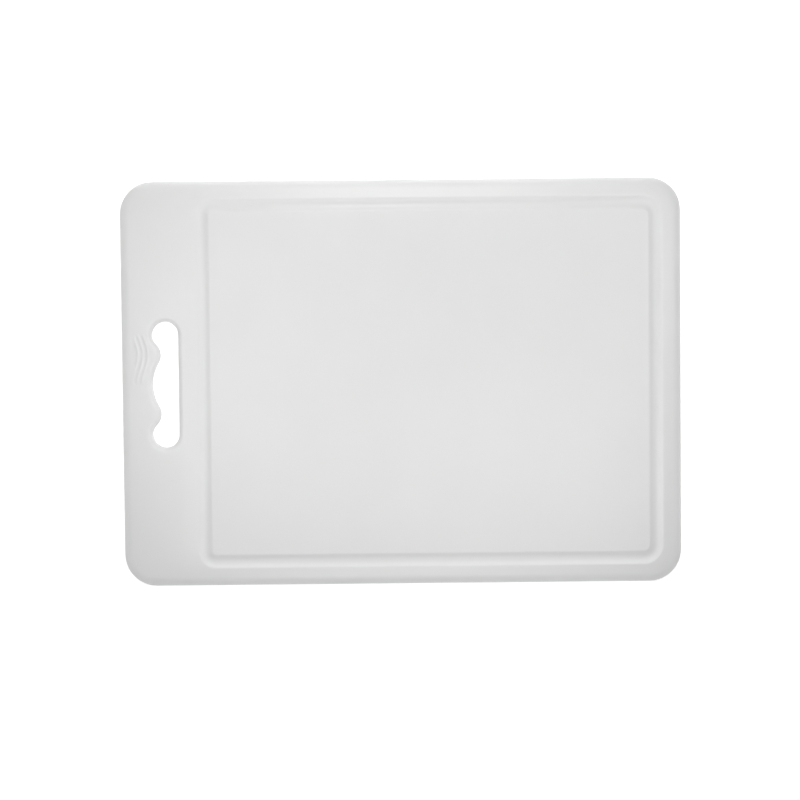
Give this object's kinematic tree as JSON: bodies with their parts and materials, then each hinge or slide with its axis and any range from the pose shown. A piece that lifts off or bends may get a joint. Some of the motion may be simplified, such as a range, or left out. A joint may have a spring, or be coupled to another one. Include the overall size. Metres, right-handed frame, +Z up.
{
  "type": "cutting board",
  "caption": "Flat rounded plastic cutting board with a juice groove, a scalloped hand hole at one end and round push-in feet underneath.",
  "frame": {"origin": "under the middle of the board, on the surface that the feet stand on", "axes": "+X along the board from the handle end to the far end, +Y across the board, +Z up out of the cutting face"},
  "size_m": [0.38, 0.275, 0.0115],
  "materials": {
    "board_plastic": "milky natural polyethylene, fine matte moulded grain on the cutting area and a smoother rim",
    "foot_rubber": "matte off-white thermoplastic rubber"
  },
  "bodies": {
    "root": {"board_panel": "board_plastic", "foot_handle_front": "foot_rubber", "foot_handle_back": "foot_rubber", "foot_far_front": "foot_rubber", "foot_far_back": "foot_rubber"}
  },
  "joints": []
}
